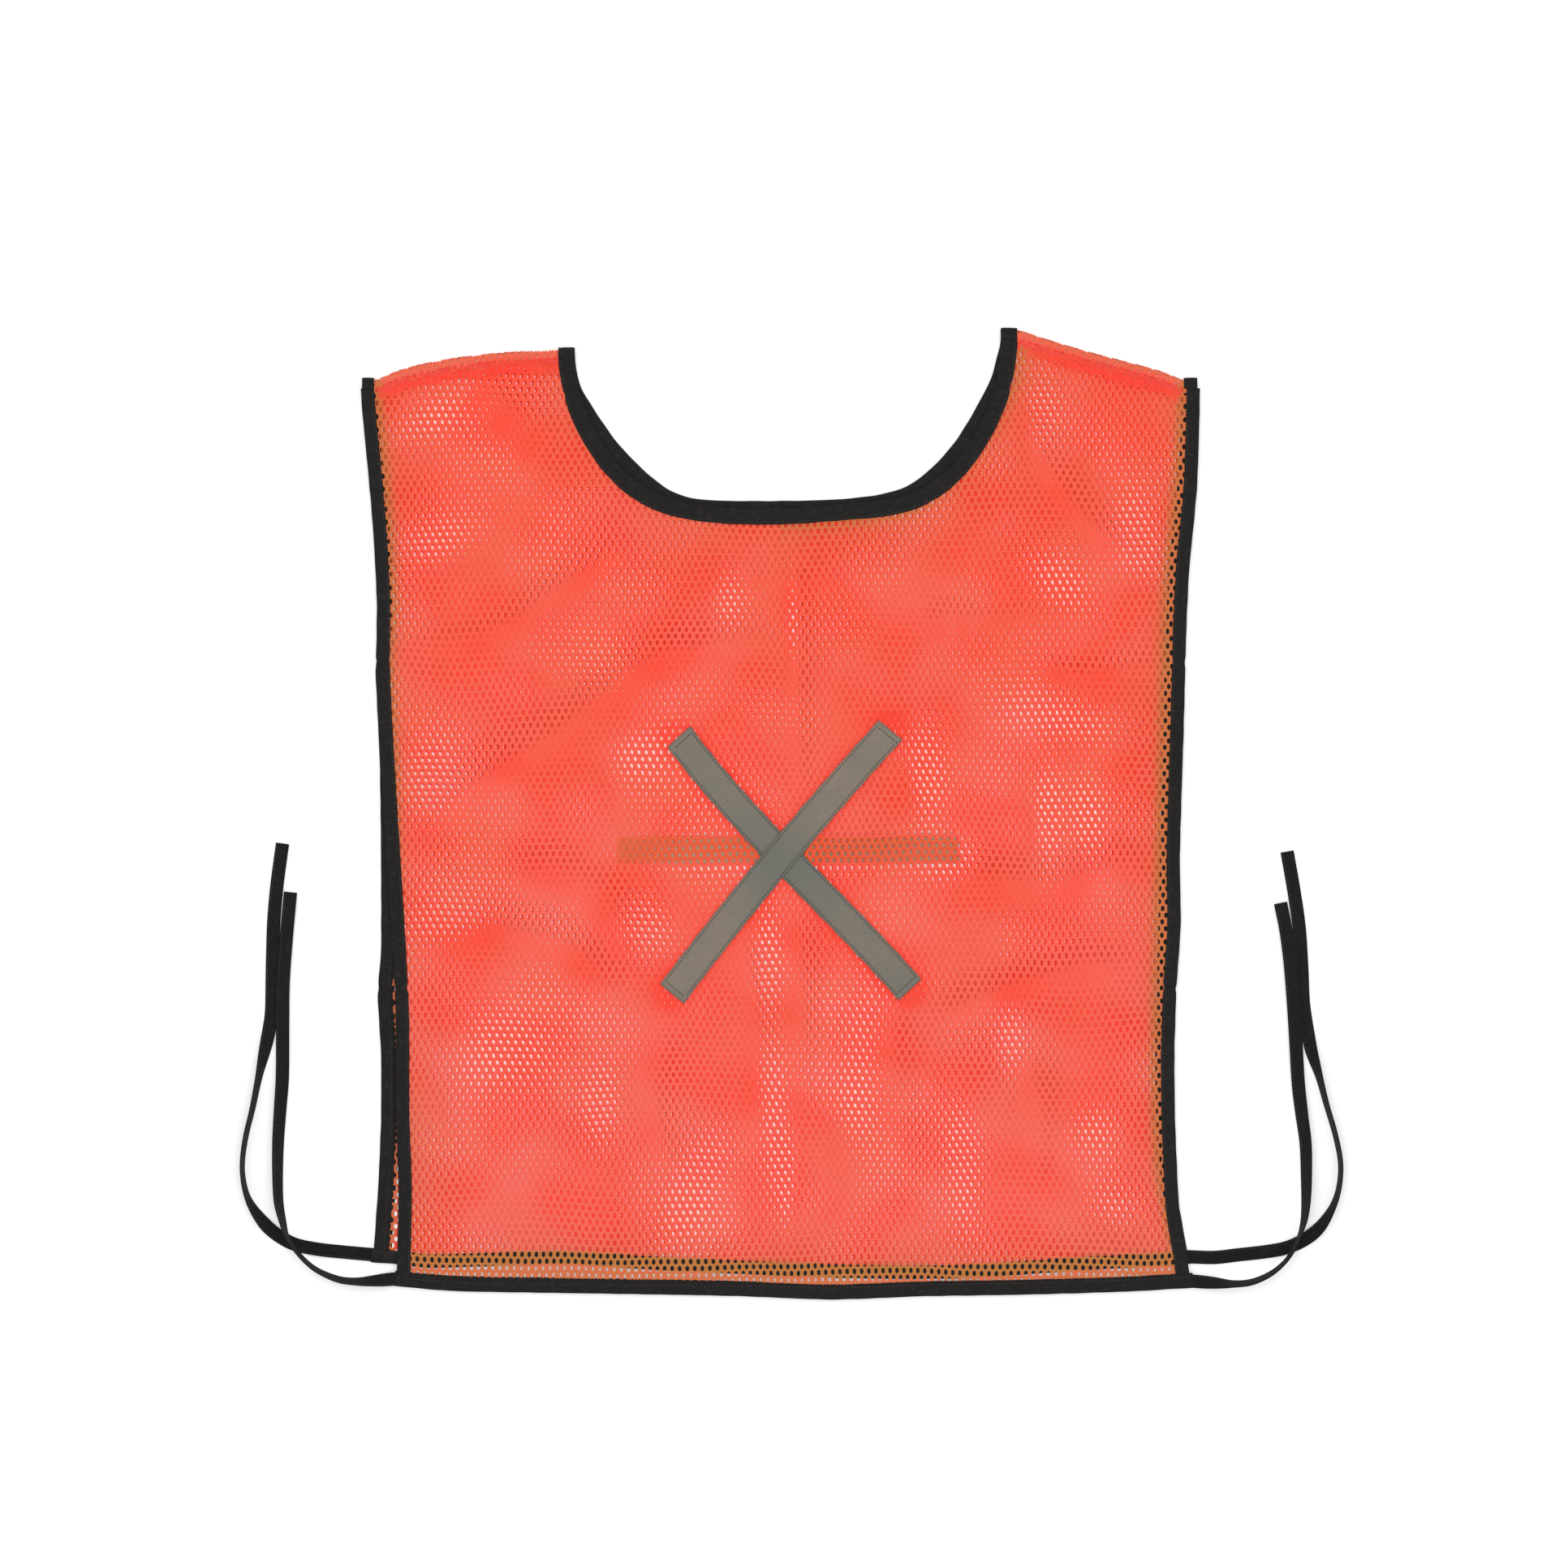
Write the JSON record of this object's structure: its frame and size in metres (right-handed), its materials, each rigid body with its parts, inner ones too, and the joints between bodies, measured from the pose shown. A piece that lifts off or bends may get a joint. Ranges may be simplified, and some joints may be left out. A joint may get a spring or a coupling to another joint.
{
  "type": "high visibility vest",
  "caption": "Pull-over high visibility mesh tabard lying flat, with tape-bound edges, hem ties, a crossed reflective strip on the front and a reflective bar on the back.",
  "frame": {"origin": "middle of the vest without its ties, on the surface that it lies on", "axes": "+Y up the vest from the hem to the shoulders, +X to the viewer's right, +Z out of the front panel"},
  "size_m": [0.8139, 0.7182, 0.0127],
  "materials": {
    "high_vis_mesh": "knitted open polyester mesh, fluorescent orange-red, slight sheen",
    "binding_tape": "matt black woven binding tape, folded and stitched",
    "tie_tape": "matt black folded tape, stitched along one edge",
    "reflective_tape": "grey glass-bead reflective tape, satin"
  },
  "bodies": {
    "back": {"back_mesh_panel": "high_vis_mesh", "hem_binding_back": "binding_tape", "neck_binding_back": "binding_tape", "side_binding_back_left": "binding_tape", "side_binding_back_right": "binding_tape", "reflective_bar_back": "reflective_tape", "tie_back_left": "tie_tape", "tie_back_right": "tie_tape"},
    "front": {"front_mesh_panel": "high_vis_mesh", "hem_binding_front": "binding_tape", "neck_binding_front": "binding_tape", "side_binding_front_left": "binding_tape", "side_binding_front_right": "binding_tape", "reflective_strip_under": "reflective_tape", "reflective_strip_over": "reflective_tape", "tie_front_left": "tie_tape", "tie_front_right": "tie_tape"}
  },
  "joints": [
    {"name": "front_panel_lift", "type": "hinge", "parent": "back", "child": "front", "pos_m": [0, 0.35, 0.0102], "axis": [-1, 0, 0], "range_deg": [0, 60]}
  ]
}
